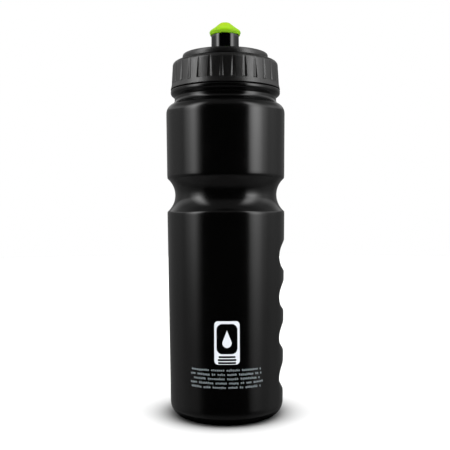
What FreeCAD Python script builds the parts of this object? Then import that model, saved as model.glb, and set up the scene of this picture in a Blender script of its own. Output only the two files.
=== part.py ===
import FreeCAD, Part
import os
import Sketcher
from FreeCAD import Placement, Rotation, Vector

# A 750 ml sports squeeze bottle with a screw cap and a push-pull drinking nozzle.
# Millimetres, +Z up, origin at the middle of the plane that the bottle stands on.
# The printed face looks along -Y and the finger grips are on the +X side.

DRIVING_SIZES = {
    # blow-moulded bottle
    "body_radius": (37.0, "widest radius, at the shoulder"),
    "waist_edge_radius": (36.6, "body radius at both edges of the waist groove"),
    "waist_radius": (31.7, "radius at the bottom of the waist groove"),
    "waist_low": (126.6, "height of the waist groove's lower edge"),
    "waist_high": (147.4, "height of the waist groove's upper edge"),
    "waist_edge_round": (1.2, "rounding of the waist groove's edges"),
    "base_radius": (35.1, "body radius just above the base corner"),
    "base_round": (8.6, "rounding of the base corner"),
    "push_up_radius": (21.0, "radius of the dome pushed up into the base"),
    "push_up_rise": (4.0, "height of that dome"),
    "shoulder_height": (191.4, "height of the shoulder's corner"),
    "shoulder_rise": (2.5, "rise of the sloping shoulder"),
    "shoulder_round": (6.1, "rounding of the shoulder's corner"),
    "throat_radius": (31.7, "radius of the groove below the neck bead"),
    "bead_radius": (34.1, "radius of the neck bead"),
    "bead_foot": (197.4, "height where the neck bead starts"),
    "bead_slope": (2.0, "height of the bead's sloping underside"),
    "bead_top": (201.75, "height of the neck bead's top"),
    "bead_round": (1.9, "rounding of the bead's lower edge"),
    "edge_round": (0.6, "rounding of small moulded edges"),
    "body_wall": (1.1, "wall of the squeezable body"),
    "neck_radius": (29.9, "outer radius of the neck between threads"),
    "mouth_radius": (28.1, "radius of the open mouth"),
    "neck_top": (216.0, "height of the neck's lip"),
    "hollow_overrun": (1.0, "height that the hollow's form runs out of the mouth"),
    # finger grips
    "grip_count": (4, "number of finger grips"),
    "grip_first": (24.2, "height of the lowest finger grip"),
    "grip_pitch": (25.0, "distance between finger grips"),
    "grip_arc": (13.2, "radius of a finger grip's arc"),
    "grip_depth": (3.3, "depth of the lowest finger grip"),
    "grip_depth_step": (0.2, "how much deeper each grip is than the one below it"),
    "grip_edge_round": (1.6, "rounding between a grip and the body"),
    # screw thread
    "thread_pitch": (6.0, "rise of the thread in one turn"),
    "thread_depth": (1.1, "height of a thread ridge"),
    "thread_root": (2.4, "thickness of a thread ridge at its root"),
    "thread_crest": (1.2, "thickness of a thread ridge at its crest"),
    "thread_sink": (0.2, "depth that a ridge is sunk into its wall"),
    "neck_thread_start": (207.0, "height where the neck's thread starts"),
    "neck_thread_turns": (1.1, "turns of the neck's thread"),
    "cap_thread_drop": (2.1, "distance of the cap's thread below the neck's"),
    "cap_thread_turns": (1.25, "turns of the cap's thread"),
    # screw cap
    "cap_bottom": (202.15, "height of the skirt's lower edge"),
    "cap_bottom_radius": (34.2, "radius of the skirt's lower edge"),
    "cap_band_height": (3.0, "height of the plain band below the grip notches"),
    "cap_band_radius": (33.5, "radius at the top of the plain band"),
    "cap_top_radius": (32.65, "radius at the cap's shoulder"),
    "cap_top": (219.3, "height of the cap's shoulder"),
    "cap_top_round": (2.6, "rounding of the cap's shoulder"),
    "cap_bore": (31.3, "inner radius of the skirt"),
    "cap_plate": (1.8, "thickness of the cap's top"),
    "disc_radius": (26.5, "radius of the raised disc"),
    "disc_top": (224.05, "height of the raised disc"),
    "disc_round": (0.6, "rounding of the raised disc's edge"),
    "plug_radius": (27.8, "outer radius of the plug ring inside the neck"),
    "plug_wall": (1.2, "wall of the plug ring"),
    "plug_depth": (6.0, "length of the plug ring"),
    "notch_count": (30, "number of grip notches"),
    "notch_phase": (2.0, "angle of the first notch"),
    "notch_outset": (2.0, "distance of a notch's axis outside the skirt"),
    "notch_wide": (2.45, "radius of a notch at its lower end"),
    "notch_narrow": (2.04, "radius of a notch at its upper end"),
    "notch_gap": (0.2, "distance of a notch's lower end above the plain band"),
    "notch_lean": (3.4, "lean of a notch, along the skirt's slope"),
    "notch_length": (14.0, "length of a notch"),
    # fixed spout of the cap
    "spout_radius": (6.3, "outer radius of the fixed spout"),
    "spout_bore": (4.6, "radius of the waterway in the spout"),
    "spout_top": (235.0, "height of the spout's rim"),
    "catch_radius": (6.9, "radius of the ring that stops the nozzle"),
    "catch_foot": (232.6, "height of that ring's underside"),
    "catch_height": (1.4, "height of that ring"),
    "boss_radius": (9.6, "radius of the low boss round the nozzle's foot"),
    "boss_height": (0.5, "height of that boss"),
    "pin_radius": (2.4, "radius of the closing pin"),
    "pin_top": (243.8, "height of the closing pin"),
    "pin_foot": (224.0, "height where the closing pin starts"),
    "rib_width": (1.2, "thickness of the ribs that hold the pin"),
    "rib_count": (3, "number of those ribs"),
    "rib_height": (8.0, "height of those ribs"),
    # seal
    "seal_inner": (28.2, "inner radius of the seal ring"),
    "seal_outer": (30.4, "outer radius of the seal ring"),
    "seal_gap": (0.05, "clearance below and above the seal ring"),
    # push-pull nozzle
    "sleeve_radius": (8.6, "outer radius of the nozzle's black sleeve"),
    "sleeve_bore": (7.0, "inner radius of the sleeve"),
    "sleeve_bottom": (224.75, "height of the sleeve's foot when closed"),
    "sleeve_lip_radius": (6.4, "inner radius of the sleeve's foot"),
    "sleeve_lip_height": (1.8, "height of the sleeve's inner lip"),
    "sleeve_shoulder": (236.5, "height where the soft tip starts"),
    "sleeve_neck_radius": (7.9, "radius of the sleeve inside the soft tip"),
    "sleeve_top": (239.0, "height of the sleeve's hidden top"),
    "lip_radius": (9.55, "radius of the soft tip's rim"),
    "lip_height": (238.1, "height of the widest point of that rim"),
    "flank_low_radius": (8.7, "radius where the soft tip's flank starts"),
    "flank_low": (240.0, "height where the flank starts"),
    "flank_high_radius": (4.3, "radius where the flank ends"),
    "flank_high": (243.5, "height where the flank ends"),
    "tip_top": (244.5, "height of the soft tip"),
    "tip_flat_radius": (2.9, "radius of the ring at the very top"),
    "outlet_radius": (2.5, "radius of the drinking hole"),
    "tip_roof": (240.6, "height of the hollow's roof in the soft tip"),
    "tip_hollow_radius": (5.4, "radius of the hollow in the soft tip"),
}

# An edge is the one looked for when its radius and height are this close.
EDGE_MATCH = 0.01
# A cut or a thread that changes less volume than this, in cubic millimetres, has missed.
LEAST_CHANGE = 100


class Size:
    """A number together with the spreadsheet expression that gives it."""

    def __init__(self, number, text):
        self.number = number
        self.text = text

    def __add__(self, other):
        other = as_size(other)
        return Size(self.number + other.number, f"({self.text} + {other.text})")

    def __sub__(self, other):
        other = as_size(other)
        return Size(self.number - other.number, f"({self.text} - {other.text})")

    def __mul__(self, other):
        other = as_size(other)
        return Size(self.number * other.number, f"({self.text} * {other.text})")

    def __truediv__(self, other):
        other = as_size(other)
        return Size(self.number / other.number, f"({self.text} / {other.text})")


def as_size(value):
    """A plain number as a Size; a Size stays what it is."""
    return value if isinstance(value, Size) else Size(value, str(value))


def size(name):
    """The driving size with this name."""
    return Size(DRIVING_SIZES[name][0], f"Sizes.{name}")


def write_sheet(document):
    """The driving sizes, one row each: name, number and what it is."""
    sheet = document.addObject("Spreadsheet::Sheet", "Sizes")
    for row, (name, (number, note)) in enumerate(DRIVING_SIZES.items(), start=1):
        sheet.set(f"A{row}", name)
        sheet.set(f"B{row}", str(number))
        sheet.set(f"C{row}", note)
        sheet.setAlias(f"B{row}", name)
    document.recompute()


def new_body(document, label):
    """An empty PartDesign body with a label of its own."""
    body = document.addObject("PartDesign::Body", label)
    body.Label = label
    return body


def origin_feature(body, role):
    """One of the body's own origin planes or axes."""
    for feature in body.Origin.OriginFeatures:
        if feature.Role == role:
            return feature
    raise ValueError(f"{body.Label} has no {role}")


def new_sketch(body, name, plane="XZ_Plane"):
    """An empty sketch on one of the body's origin planes."""
    sketch = body.newObject("Sketcher::SketchObject", name)
    sketch.AttachmentSupport = [(origin_feature(body, plane), "")]
    sketch.MapMode = "FlatFace"
    return sketch


def pin_point(sketch, side, end, across, up):
    """Fix one end of a side, or a centre, at two sizes from the sketch's origin."""
    places = (("DistanceX", across, -2), ("DistanceY", up, -1))
    for kind, place, axis in places:
        if place.number == 0:
            sketch.addConstraint(Sketcher.Constraint("PointOnObject", side, end, axis))
        else:
            rule = sketch.addConstraint(Sketcher.Constraint(kind, side, end, place.number))
            sketch.setExpression(f"Constraints[{rule}]", place.text)


def outline(body, name, corners, arcs=None):
    """A closed sketch in the XZ plane through corners given as (radius, height).

    arcs maps a corner's number to (middle point, arc radius): the side that leaves
    that corner is then an arc instead of a straight line.
    """
    arcs = arcs or {}
    sketch = new_sketch(body, name)
    corners = [(as_size(across), as_size(up)) for across, up in corners]
    points = [Vector(across.number, up.number, 0) for across, up in corners]
    ends = []
    for number, start in enumerate(points):
        finish = points[(number + 1) % len(points)]
        if number in arcs:
            middle, radius = arcs[number]
            middle = Vector(as_size(middle[0]).number, as_size(middle[1]).number, 0)
            side = sketch.addGeometry(Part.Arc(start, middle, finish))
            left_turn = (middle - start).cross(finish - start).z > 0
            ends.append((1, 2) if left_turn else (2, 1))
            rule = sketch.addConstraint(Sketcher.Constraint("Radius", side, radius.number))
            sketch.setExpression(f"Constraints[{rule}]", radius.text)
        else:
            sketch.addGeometry(Part.LineSegment(start, finish))
            ends.append((1, 2))
    for number, (across, up) in enumerate(corners):
        before = number - 1 if number else len(corners) - 1
        joined = Sketcher.Constraint(
            "Coincident", before, ends[before][1], number, ends[number][0]
        )
        sketch.addConstraint(joined)
        pin_point(sketch, number, ends[number][0], across, up)
    return sketch


def revolve(body, name, corners, arcs=None):
    """A full turn of an outline about the bottle's axis, added to the body."""
    sketch = outline(body, name + "_outline", corners, arcs)
    turned = body.newObject("PartDesign::Revolution", name)
    turned.Profile = sketch
    turned.ReferenceAxis = (sketch, ["V_Axis"])
    turned.Angle = 360
    sketch.Visibility = False
    body.Document.recompute()


def round_rims(body, name, radius, rims):
    """Round the circular edges found at the given (radius, height) places."""
    radius = as_size(radius)
    names = []
    for number, edge in enumerate(body.Tip.Shape.Edges, start=1):
        if edge.Degenerated or not isinstance(edge.Curve, Part.Circle):
            continue
        for across, up in rims:
            same_radius = abs(edge.Curve.Radius - as_size(across).number) < EDGE_MATCH
            same_height = abs(edge.Curve.Center.z - as_size(up).number) < EDGE_MATCH
            if same_radius and same_height:
                names.append(f"Edge{number}")
    if len(names) != len(rims):
        raise ValueError(f"{name}: {len(names)} edges found for {len(rims)} rims")
    fillet = body.newObject("PartDesign::Fillet", name)
    fillet.Base = (fillet.BaseFeature, names)
    fillet.setExpression("Radius", radius.text)
    body.Document.recompute()
    if fillet.Shape.isNull():
        raise ValueError(f"{name} could not be rounded")


def bow_radius(chord, rise):
    """The radius of an arc that bows by rise over a chord."""
    return (chord * chord / 4 + rise * rise) / (rise * 2)


def cut_grips(body, inset):
    """Four finger grips across the +X side: horizontal round grooves in a row.

    inset is how far this surface lies inside the bottle's outer surface, so that
    the inner wall follows the grips and the wall keeps its thickness.
    """
    sketch = new_sketch(body, body.Label + "_grips")
    low, high = size("base_radius"), size("waist_edge_radius")
    for number in range(size("grip_count").number):
        up = size("grip_first") + size("grip_pitch") * number
        wall_radius = low + (high - low) * up / size("waist_low")
        depth = size("grip_depth") + size("grip_depth_step") * number
        across = wall_radius - depth + size("grip_arc")
        radius = size("grip_arc") + inset
        middle = Vector(across.number, up.number, 0)
        circle = sketch.addGeometry(Part.Circle(middle, Vector(0, 0, 1), radius.number))
        rule = sketch.addConstraint(Sketcher.Constraint("Radius", circle, radius.number))
        sketch.setExpression(f"Constraints[{rule}]", radius.text)
        pin_point(sketch, circle, 3, across, up)
    body.Document.recompute()
    before = body.Tip.Shape.Volume
    pocket = body.newObject("PartDesign::Pocket", body.Label + "_grip_cut")
    pocket.Profile = sketch
    pocket.SideType = "Symmetric"
    pocket.Type = "ThroughAll"
    sketch.Visibility = False
    body.Document.recompute()
    if pocket.Shape.Volume > before - LEAST_CHANGE:
        raise ValueError("the finger grips cut nothing")
    round_grip_edges(body, size("grip_edge_round") - inset)


def round_grip_edges(body, radius):
    """Round the edges where the grips meet the body."""
    names = []
    shape = body.Tip.Shape
    for number, edge in enumerate(shape.Edges, start=1):
        around = [face.Surface for face in shape.ancestorsOfType(edge, Part.Face)]
        kinds = sorted(type(surface).__name__ for surface in around)
        if kinds == ["Cone", "Cylinder"]:
            names.append(f"Edge{number}")
    fillet = body.newObject("PartDesign::Fillet", body.Label + "_grip_edges")
    fillet.Base = (fillet.BaseFeature, names)
    fillet.setExpression("Radius", radius.text)
    body.Document.recompute()


def add_thread(body, wall_radius, start, turns, outward):
    """A screw ridge on the wall: outward on the neck, inward in the cap."""
    side = 1 if outward else -1
    root = wall_radius - size("thread_sink") * side
    crest = wall_radius + size("thread_depth") * side
    half_root = size("thread_root") / 2
    half_crest = size("thread_crest") / 2
    corners = [
        (root, start - half_root),
        (crest, start - half_crest),
        (crest, start + half_crest),
        (root, start + half_root),
    ]
    sketch = outline(body, body.Label + "_thread_outline", corners)
    body.Document.recompute()
    before = body.Tip.Shape.Volume
    ridge = body.newObject("PartDesign::AdditiveHelix", body.Label + "_thread")
    ridge.Profile = sketch
    ridge.ReferenceAxis = (sketch, ["V_Axis"])
    ridge.Mode = "pitch-turns-angle"
    ridge.setExpression("Pitch", size("thread_pitch").text)
    ridge.setExpression("Turns", turns.text)
    ridge.Angle = 0
    ridge.LeftHanded = False
    ridge.Reversed = False
    sketch.Visibility = False
    body.Document.recompute()
    if ridge.Shape.Volume < before + LEAST_CHANGE:
        raise ValueError("the thread adds nothing")


def bottle_form(document, label, inset):
    """The solid form of the bottle's body, its surface moved inwards by inset.

    With no inset it is the outer form with its neck bead and finish; with the
    wall as inset it is the hollow, which runs up and out of the mouth.
    """
    body = new_body(document, label)
    hollow = inset.number > 0
    waist_middle = (size("waist_low") + size("waist_high")) / 2
    waist_bow = size("waist_edge_radius") - size("waist_radius")
    waist_arc = bow_radius(size("waist_high") - size("waist_low"), waist_bow)
    dome_arc = bow_radius(size("push_up_radius") * 2, size("push_up_rise"))
    dome_start = size("push_up_radius")
    # a shallow arc has three quarters of its rise half way out
    dome_middle = (dome_start / 2, size("push_up_rise") * 3 / 4 + inset)
    throat_low = size("shoulder_height") + size("shoulder_rise")
    corners = [
        (0, size("push_up_rise") + inset),
        (dome_start, inset),
        (size("base_radius") - inset, inset),
        (size("waist_edge_radius") - inset, size("waist_low")),
        (size("waist_edge_radius") - inset, size("waist_high")),
        (size("body_radius") - inset, size("shoulder_height") - inset / 2),
        (size("throat_radius") - inset, throat_low - inset / 2),
    ]
    waist_via = (size("waist_radius") - inset, waist_middle)
    arcs = {
        0: (dome_middle, dome_arc),
        3: (waist_via, waist_arc),
    }
    if hollow:
        corners += [
            (size("throat_radius") - inset, size("bead_foot")),
            (size("mouth_radius"), size("bead_top")),
            (size("mouth_radius"), size("neck_top") + size("hollow_overrun")),
            (0, size("neck_top") + size("hollow_overrun")),
        ]
    else:
        corners += [
            (size("throat_radius"), size("bead_foot")),
            (size("bead_radius"), size("bead_foot") + size("bead_slope")),
            (size("bead_radius"), size("bead_top")),
            (size("neck_radius"), size("bead_top")),
            (size("neck_radius"), size("neck_top")),
            (0, size("neck_top")),
        ]
    revolve(body, label + "_turned", corners, arcs)
    round_rims(body, label + "_base_corner", size("base_round") - inset, [corners[2]])
    round_rims(body, label + "_shoulder", size("shoulder_round") - inset, [corners[5]])
    round_rims(body, label + "_waist_edges", size("waist_edge_round"), [corners[3], corners[4]])
    if not hollow:
        round_rims(body, label + "_bead", size("bead_round"), [corners[8]])
        small = [corners[6], corners[7], corners[9], corners[10], corners[11]]
        round_rims(body, label + "_small_edges", size("edge_round"), small)
    cut_grips(body, inset)
    return body


def bottle_body(document):
    """The blow-moulded bottle: one thin wall, a hollow base, a waist and a threaded neck."""
    outer = bottle_form(document, "bottle_outer_form", as_size(0))
    add_thread(outer, size("neck_radius"), size("neck_thread_start"), size("neck_thread_turns"), True)
    hollow = bottle_form(document, "bottle_hollow_form", size("body_wall"))
    shell = document.addObject("Part::Cut", "bottle_body")
    shell.Label = "bottle_body"
    shell.Base = outer
    shell.Tool = hollow
    document.recompute()
    return shell


def cap_section():
    """The corners of the cap's section, from the skirt's lower edge round the outside."""
    under_top = size("cap_top") - size("cap_plate")
    under_disc = size("disc_top") - size("cap_plate")
    disc_inner = size("disc_radius") - size("cap_plate")
    plug_inner = size("plug_radius") - size("plug_wall")
    plug_foot = under_top - size("plug_depth")
    return [
        (size("cap_bore"), size("cap_bottom")),
        (size("cap_bottom_radius"), size("cap_bottom")),
        (size("cap_band_radius"), size("cap_bottom") + size("cap_band_height")),
        (size("cap_top_radius"), size("cap_top")),
        (size("disc_radius"), size("cap_top")),
        (size("disc_radius"), size("disc_top")),
        (size("boss_radius"), size("disc_top")),
        (size("boss_radius"), size("disc_top") + size("boss_height")),
        (size("spout_radius"), size("disc_top") + size("boss_height")),
        (size("spout_radius"), size("catch_foot")),
        (size("catch_radius"), size("catch_foot")),
        (size("catch_radius"), size("catch_foot") + size("catch_height")),
        (size("spout_radius"), size("spout_top")),
        (size("spout_bore"), size("spout_top")),
        (size("spout_bore"), under_disc),
        (disc_inner, under_disc),
        (disc_inner, under_top),
        (plug_inner, under_top),
        (plug_inner, plug_foot),
        (size("plug_radius"), plug_foot),
        (size("plug_radius"), under_top),
        (size("cap_bore"), under_top),
    ]


def cut_notches(body):
    """Tapered grip notches round the skirt, each cut by a cone that leans with the skirt."""
    before = body.Tip.Shape.Volume
    notch = body.newObject("PartDesign::SubtractiveCone", "cap_notch")
    notch.setExpression("Radius1", size("notch_wide").text)
    notch.setExpression("Radius2", size("notch_narrow").text)
    notch.setExpression("Height", size("notch_length").text)
    foot = size("cap_bottom") + size("cap_band_height") + size("notch_gap")
    radius = size("cap_band_radius") + size("notch_outset")
    lean = Rotation(Vector(0, 1, 0), -size("notch_lean").number)
    around = Rotation(Vector(0, 0, 1), size("notch_phase").number)
    place = around.multVec(Vector(radius.number, 0, foot.number))
    notch.AttachmentSupport = [(origin_feature(body, "XY_Plane"), "")]
    notch.MapMode = "FlatFace"
    notch.AttachmentOffset = Placement(place, around.multiply(lean))
    body.Document.recompute()
    notches = body.newObject("PartDesign::PolarPattern", "cap_notches")
    notches.Originals = [notch]
    notches.Axis = (origin_feature(body, "Z_Axis"), [""])
    notches.Angle = 360
    notches.setExpression("Occurrences", size("notch_count").text)
    body.Tip = notches
    body.Document.recompute()
    if notches.Shape.Volume > before - LEAST_CHANGE:
        raise ValueError("the grip notches cut too little")


def add_closing_pin(body):
    """The pin that closes the drinking hole, and the ribs that hold it in the spout."""
    rib_sketch = new_sketch(body, "pin_rib_outline")
    half = size("rib_width") / 2
    reach = size("spout_bore") + (size("spout_radius") - size("spout_bore")) / 2
    foot = size("pin_foot")
    head = foot + size("rib_height")
    points = [(as_size(0), foot), (reach, foot), (reach, head), (as_size(0), head)]
    vectors = [Vector(across.number, up.number, 0) for across, up in points]
    for number, start in enumerate(vectors):
        rib_sketch.addGeometry(Part.LineSegment(start, vectors[(number + 1) % 4]))
    for number, (across, up) in enumerate(points):
        joined = Sketcher.Constraint("Coincident", (number - 1) % 4, 2, number, 1)
        rib_sketch.addConstraint(joined)
        pin_point(rib_sketch, number, 1, across, up)
    rib = body.newObject("PartDesign::Pad", "pin_rib")
    rib.Profile = rib_sketch
    rib.SideType = "Symmetric"
    rib.setExpression("Length", (half * 2).text)
    rib_sketch.Visibility = False
    body.Document.recompute()
    ribs = body.newObject("PartDesign::PolarPattern", "pin_ribs")
    ribs.Originals = [rib]
    ribs.Axis = (origin_feature(body, "Z_Axis"), [""])
    ribs.Angle = 360
    ribs.setExpression("Occurrences", size("rib_count").text)
    body.Tip = ribs
    body.Document.recompute()
    corners = [
        (0, foot),
        (size("pin_radius"), foot),
        (size("pin_radius"), size("pin_top")),
        (0, size("pin_top")),
    ]
    revolve(body, "closing_pin", corners)
    rim = [(size("pin_radius"), size("pin_top"))]
    round_rims(body, "closing_pin_edge", size("edge_round"), rim)


def screw_cap(document):
    """The moulded cap: skirt with thread and notches, raised disc, spout and closing pin."""
    body = new_body(document, "screw_cap")
    corners = cap_section()
    revolve(body, "cap_turned", corners)
    round_rims(body, "cap_shoulder", size("cap_top_round"), [corners[3]])
    round_rims(body, "disc_edge", size("disc_round"), [corners[5]])
    inside = [corners[15], corners[21]]
    round_rims(body, "cap_inner_corners", size("edge_round"), inside)
    cut_notches(body)
    start = size("neck_thread_start") - size("cap_thread_drop")
    add_thread(body, size("cap_bore"), start, size("cap_thread_turns"), False)
    add_closing_pin(body)
    return body


def cap_seal(document):
    """The flat sealing ring between the neck's lip and the cap."""
    body = new_body(document, "cap_seal")
    low = size("neck_top") + size("seal_gap")
    high = size("cap_top") - size("cap_plate") - size("seal_gap")
    corners = [
        (size("seal_inner"), low),
        (size("seal_outer"), low),
        (size("seal_outer"), high),
        (size("seal_inner"), high),
    ]
    revolve(body, "seal_turned", corners)
    return body


def nozzle_sleeve(document):
    """The nozzle's hard sleeve: slides on the fixed spout and carries the soft tip."""
    body = new_body(document, "nozzle_sleeve")
    bottom = size("sleeve_bottom")
    lip_top = bottom + size("sleeve_lip_height")
    corners = [
        (size("sleeve_lip_radius"), bottom),
        (size("sleeve_radius"), bottom),
        (size("sleeve_radius"), size("sleeve_shoulder")),
        (size("sleeve_neck_radius"), size("sleeve_shoulder")),
        (size("sleeve_neck_radius"), size("sleeve_top")),
        (size("sleeve_bore"), size("sleeve_top")),
        (size("sleeve_bore"), lip_top),
        (size("sleeve_lip_radius"), lip_top),
    ]
    revolve(body, "sleeve_turned", corners)
    round_rims(body, "sleeve_foot", size("edge_round") / 2, [corners[1]])
    return body


def mouthpiece(document):
    """The soft green tip: a rounded rim, a hat-shaped flank and the drinking hole."""
    body = new_body(document, "mouthpiece")
    rim_middle = (size("lip_radius"), size("lip_height"))
    corners = [
        (size("sleeve_neck_radius"), size("sleeve_shoulder")),
        (size("sleeve_radius"), size("sleeve_shoulder")),
        (size("flank_low_radius"), size("flank_low")),
        (size("flank_high_radius"), size("flank_high")),
        (size("tip_flat_radius"), size("tip_top")),
        (size("outlet_radius"), size("tip_top")),
        (size("outlet_radius"), size("tip_roof")),
        (size("tip_hollow_radius"), size("tip_roof")),
        (size("tip_hollow_radius"), size("sleeve_top")),
        (size("sleeve_neck_radius"), size("sleeve_top")),
    ]
    rim_chord = size("flank_low") - size("sleeve_shoulder")
    rim_bow = size("lip_radius") - (size("sleeve_radius") + size("flank_low_radius")) / 2
    arcs = {1: (rim_middle, bow_radius(rim_chord, rim_bow))}
    revolve(body, "tip_turned", corners, arcs)
    return body


def check_document(document):
    """Stop if any object failed to compute."""
    for item in document.Objects:
        if "Invalid" in item.State or "Error" in item.State:
            raise ValueError(f"{item.Name} failed: {item.State}")


def export(pieces):
    """Write each piece's solid to a file named after it."""
    os.makedirs("parts", exist_ok=True)
    for piece in pieces:
        shape = piece.Shape
        if shape.isNull() or not shape.isValid():
            raise ValueError(f"{piece.Label} has no valid shape")
        shape.exportStep(f"parts/{piece.Label}.step")
        box = shape.BoundBox
        print(
            f"{piece.Label}: {len(shape.Solids)} solid, {shape.Volume / 1000:.2f} cm3, "
            f"z {box.ZMin:.2f} to {box.ZMax:.2f}"
        )


document = FreeCAD.newDocument("squeeze_bottle")
write_sheet(document)
pieces = [
    bottle_body(document),
    screw_cap(document),
    cap_seal(document),
    nozzle_sleeve(document),
    mouthpiece(document),
]
document.recompute()
check_document(document)
export(pieces)
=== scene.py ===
# %% [markdown]
# # A sports squeeze bottle, modelled with numpy surfaces
#
# The object is a black 750 ml squeeze bottle: a thin blow-moulded body, a notched screw cap, a
# push-pull nozzle with a soft green tip, and a white print on the front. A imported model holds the
# bottle's mechanics, so this script loads it first, as a frame that nothing moves. Each visible
# piece is then made again as a fine surface in the same place and rides on the same body.

# %% Load the frame
from math import radians

import bpy
import numpy as np
from mathutils import Euler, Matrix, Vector


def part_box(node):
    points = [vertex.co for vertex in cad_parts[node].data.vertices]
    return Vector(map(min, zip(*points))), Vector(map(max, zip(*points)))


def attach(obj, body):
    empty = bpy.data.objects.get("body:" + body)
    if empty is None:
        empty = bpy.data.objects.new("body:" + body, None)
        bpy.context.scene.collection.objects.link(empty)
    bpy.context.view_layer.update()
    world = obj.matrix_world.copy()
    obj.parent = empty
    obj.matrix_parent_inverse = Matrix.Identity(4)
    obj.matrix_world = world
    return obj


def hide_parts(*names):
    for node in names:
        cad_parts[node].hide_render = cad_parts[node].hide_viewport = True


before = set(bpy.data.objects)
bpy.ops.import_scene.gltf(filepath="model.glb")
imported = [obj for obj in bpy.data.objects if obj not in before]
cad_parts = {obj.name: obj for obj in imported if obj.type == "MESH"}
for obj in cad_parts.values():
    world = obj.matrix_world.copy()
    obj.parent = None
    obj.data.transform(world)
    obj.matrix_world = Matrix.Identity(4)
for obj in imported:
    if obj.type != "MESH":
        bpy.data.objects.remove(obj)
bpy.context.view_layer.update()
print("frame nodes:", sorted(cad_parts))

# %% [markdown]
# ## From numbers to a mesh
#
# Nearly every piece of a bottle is round, so one helper turns an outline about the axis. The
# outline is a list of corners as (radius, height) in millimetres, each with the radius of its
# rounding. It could be drawn as a curve with a Screw modifier, but a grid worked out in numpy lets
# a formula push the surface in or out afterwards, and that is how grips, notches and threads are
# made. An outline runs anticlockwise with the material on its left, so that faces point outwards.

# %% Outlines with rounded corners
MM = 0.001


def rounded(corners, closed, arc_step=12.0):
    """Points along an outline whose corners are rounded.

    corners holds (radius, height, rounding). A rounding of radius q at a corner that turns by an
    angle t starts and ends q * tan(t / 2) from the corner, and its centre lies q to the side.
    """
    corners = [np.array(corner, float) for corner in corners]
    count = len(corners)
    points = []
    for number, corner in enumerate(corners):
        here, rounding = corner[:2], corner[2]
        end_point = not closed and number in (0, count - 1)
        if rounding == 0 or end_point:
            points.append(here[None, :])
            continue
        before = corners[number - 1][:2]
        after = corners[(number + 1) % count][:2]
        come = (here - before) / np.linalg.norm(here - before)
        go = (after - here) / np.linalg.norm(after - here)
        turn = np.arctan2(come[0] * go[1] - come[1] * go[0], come @ go)
        start = here - come * rounding * np.tan(abs(turn) / 2)
        side = np.array([-come[1], come[0]]) * np.sign(turn)
        centre = start + side * rounding
        steps = max(2, int(np.ceil(abs(np.degrees(turn)) / arc_step)) + 1)
        swing = np.linspace(0, turn, steps)[:, None]
        arm = start - centre
        crossed = np.array([-arm[1], arm[0]])
        points.append(centre + arm * np.cos(swing) + crossed * np.sin(swing))
    return np.vstack(points)


def refine(outline, closed, spacing):
    """More points on an outline, so that no step is longer than spacing(radius, height)."""
    ring = np.vstack([outline, outline[:1]]) if closed else outline
    start, finish = ring[:-1], ring[1:]
    middle = (start + finish) / 2
    length = np.linalg.norm(finish - start, axis=1)
    pieces = np.maximum(1, np.ceil(length / spacing(middle[:, 0], middle[:, 1]))).astype(int)
    owner = np.repeat(np.arange(len(pieces)), pieces)
    first = np.repeat(np.cumsum(pieces) - pieces, pieces)
    part = (np.arange(pieces.sum()) - first) / pieces[owner]
    dense = start[owner] + (finish - start)[owner] * part[:, None]
    return dense if closed else np.vstack([dense, ring[-1:]])


def even_spacing(step):
    """A spacing for refine that is the same all over a section."""
    return lambda radius, height: np.full(radius.shape, step)


square = [(1, 0, 0.2), (2, 0, 0.2), (2, 1, 0.2), (1, 1, 0.2)]
print("a square section with round corners has", len(rounded(square, True)), "points")


# %% Meshes from grids
def make_piece(name, points, faces, smooth=True):
    """A mesh object from points in millimetres and a list of faces."""
    mesh = bpy.data.meshes.new(name)
    mesh.from_pydata((np.asarray(points) * MM).tolist(), [], faces)
    mesh.polygons.foreach_set("use_smooth", np.full(len(mesh.polygons), smooth))
    mesh.validate()
    mesh.update()
    piece = bpy.data.objects.new(name, mesh)
    bpy.context.scene.collection.objects.link(piece)
    return piece


def grid_quads(rows, columns, wrap_rows, wrap_columns, first=0):
    """Quads between neighbouring points of a grid, with its edges joined where it wraps."""
    down = np.arange(rows if wrap_rows else rows - 1)
    along = np.arange(columns if wrap_columns else columns - 1)
    row, column = np.meshgrid(down, along, indexing="ij")
    next_row = (row + 1) % rows
    next_column = (column + 1) % columns
    quads = np.stack([
        row * columns + column,
        row * columns + next_column,
        next_row * columns + next_column,
        next_row * columns + column,
    ], axis=-1)
    return quads.reshape(-1, 4) + first


print("a tube of 3 rows of 8 points has", len(grid_quads(3, 8, False, True)), "quads")


# %% Surfaces of revolution
def lathe(name, outline, angles, reshape=None):
    """A surface of revolution, closed at the axis or round its section.

    Point (i, j) lies at outline radius i and height i, turned to angle j. reshape may change the
    radius, as a function of radius, height and angle. An outline that starts and ends on the axis
    gets a single point there and a fan of triangles.
    """
    capped = outline[0, 0] == 0
    section = outline[1:-1] if capped else outline
    radius, angle = np.meshgrid(section[:, 0], angles, indexing="ij")
    height = np.broadcast_to(section[:, 1:2], radius.shape)
    if reshape is not None:
        radius = reshape(radius, height, angle)
    grid = np.stack([radius * np.cos(angle), radius * np.sin(angle), height], axis=-1)
    rows, columns = radius.shape
    faces = grid_quads(rows, columns, not capped, True).tolist()
    points = grid.reshape(-1, 3)
    if capped:
        low, high = len(points), len(points) + 1
        points = np.vstack([points, [[0, 0, outline[0, 1]], [0, 0, outline[-1, 1]]]])
        here = np.arange(columns)
        after = (here + 1) % columns
        last = (rows - 1) * columns
        faces += np.stack([np.full(columns, low), after, here], axis=-1).tolist()
        faces += np.stack([np.full(columns, high), last + here, last + after], axis=-1).tolist()
    piece = make_piece(name, points, faces)
    print(f"{name}: {rows} rows of {columns}, {len(piece.data.polygons)} faces")
    return piece


def even_angles(count):
    """Angles all the way round, evenly spaced."""
    return np.linspace(0, 2 * np.pi, count, endpoint=False)


print("quarter turns:", np.degrees(even_angles(4)))


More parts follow.
